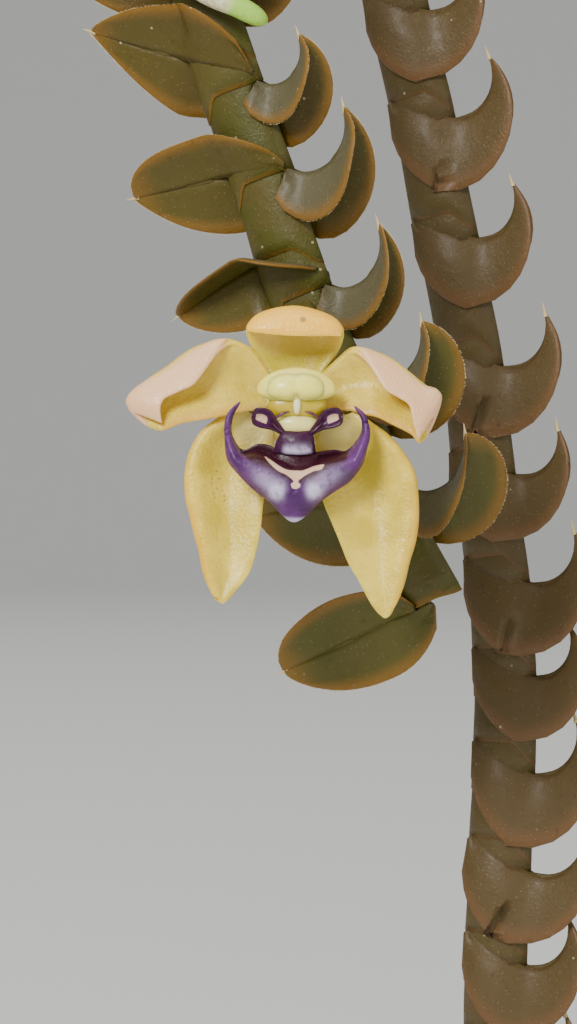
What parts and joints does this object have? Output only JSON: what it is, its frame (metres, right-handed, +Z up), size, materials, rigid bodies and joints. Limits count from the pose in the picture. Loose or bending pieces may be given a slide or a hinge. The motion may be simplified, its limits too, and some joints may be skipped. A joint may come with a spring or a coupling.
{
  "type": "orchid plant in a hanging slatted basket",
  "caption": "Pendent two-ranked leafy orchid stems with an open flower, planted in moss in a slatted wooden basket that hangs from a wire hook.",
  "frame": {"origin": "inside crown of the hanging hook, where it rests on whatever it hangs from", "axes": "+Z up, the flower faces -Y, +X to the viewer's right"},
  "size_m": [0.1483, 0.1649, 0.342],
  "materials": {
    "wood": "weathered, matte",
    "steel": "dull zinc-coated wire",
    "moss": "loose dry long-fibred moss",
    "leaf": "satin, faintly pebbled",
    "tepal": "fleshy, finely sparkling",
    "lip": "fleshy, satin",
    "column": "waxy"
  },
  "bodies": {
    "root": {"slat_left_1": "wood", "slat_right_1": "wood", "slat_front_2": "wood", "slat_back_2": "wood", "slat_left_3": "wood", "slat_right_3": "wood", "slat_front_4": "wood", "slat_back_4": "wood", "slat_left_5": "wood", "slat_right_5": "wood", "slat_front_6": "wood", "slat_back_6": "wood", "floor_slat_1": "wood", "floor_slat_2": "wood", "floor_slat_3": "wood", "corner_pin_front_left": "steel", "hanger_wire_front_left": "steel", "corner_pin_back_left": "steel", "hanger_wire_back_left": "steel", "corner_pin_back_right": "steel", "hanger_wire_back_right": "steel", "corner_pin_front_right": "steel", "hanger_wire_front_right": "steel", "hook": "steel", "moss": "moss", "stem_flowering": "leaf", "stem_front_long": "leaf", "stem_front_left": "leaf", "stem_front_right": "leaf", "stem_left": "leaf", "stem_right": "leaf", "stem_back_left": "leaf", "stem_back_right": "leaf", "stem_back_short": "leaf", "stem_young_left": "leaf", "stem_young_right": "leaf", "tepals": "tepal", "lip": "lip", "column": "column"}
  },
  "joints": []
}
